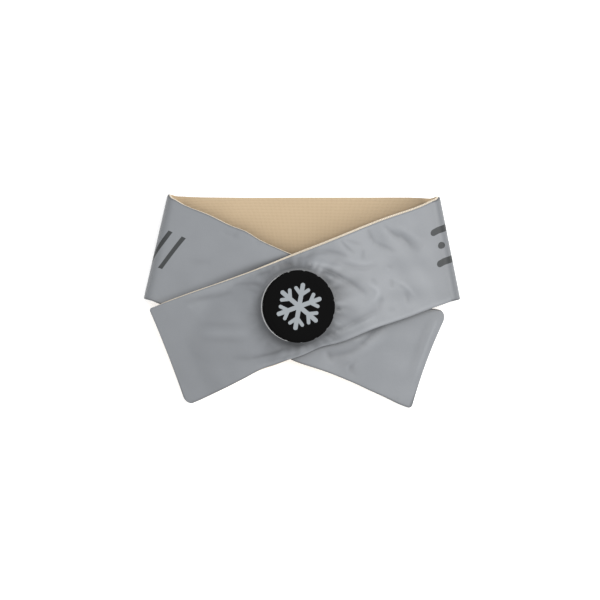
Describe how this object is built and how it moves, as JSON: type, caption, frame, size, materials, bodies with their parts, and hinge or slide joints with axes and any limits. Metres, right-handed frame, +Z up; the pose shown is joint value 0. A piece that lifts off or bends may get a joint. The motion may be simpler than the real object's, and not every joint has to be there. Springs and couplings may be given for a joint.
{
  "type": "cooling neck ring",
  "caption": "Strip of coated cloth with a knit lining, folded flat into a neck ring and crossed at the front, with a filler mouth and a screw cap on the crossing.",
  "frame": {"origin": "on the surface that the ring lies on, under the middle of its bounding box", "axes": "+X to the right along the back panel, +Y across the ring towards the back panel's upper edge, +Z up through the screw cap"},
  "size_m": [0.2272, 0.1554, 0.0455],
  "materials": {
    "coated_cloth": "smooth coated woven nylon with a faint sheen",
    "lining_knit": "matte fine honeycomb knit",
    "closure_tape": "matte hook and loop tape",
    "collar_plastic": "satin moulded plastic",
    "cap_plastic": "matte moulded plastic",
    "seal_rubber": "matte silicone"
  },
  "bodies": {
    "wrap": {"band_shell": "coated_cloth", "band_lining": "lining_knit", "closure_patch": "closure_tape", "mouth_collar": "collar_plastic"},
    "seal": {"seal_ring": "seal_rubber"},
    "cap": {"cap": "cap_plastic"}
  },
  "joints": [
    {"name": "cap_lift", "type": "slide", "parent": "wrap", "child": "seal", "axis": [0.1296, 0.0159, 0.9914], "range_m": [0, 0.012]},
    {"name": "cap_turn", "type": "hinge", "parent": "seal", "child": "cap", "pos_m": [-0.00381, -0.00488, 0.02664], "axis": [0.1296, 0.0159, 0.9914], "range_deg": [0, 1080]}
  ],
  "couplings": [
    {"joint": "cap_lift", "follows": "cap_turn", "m_per_rad": 0.00063662}
  ]
}
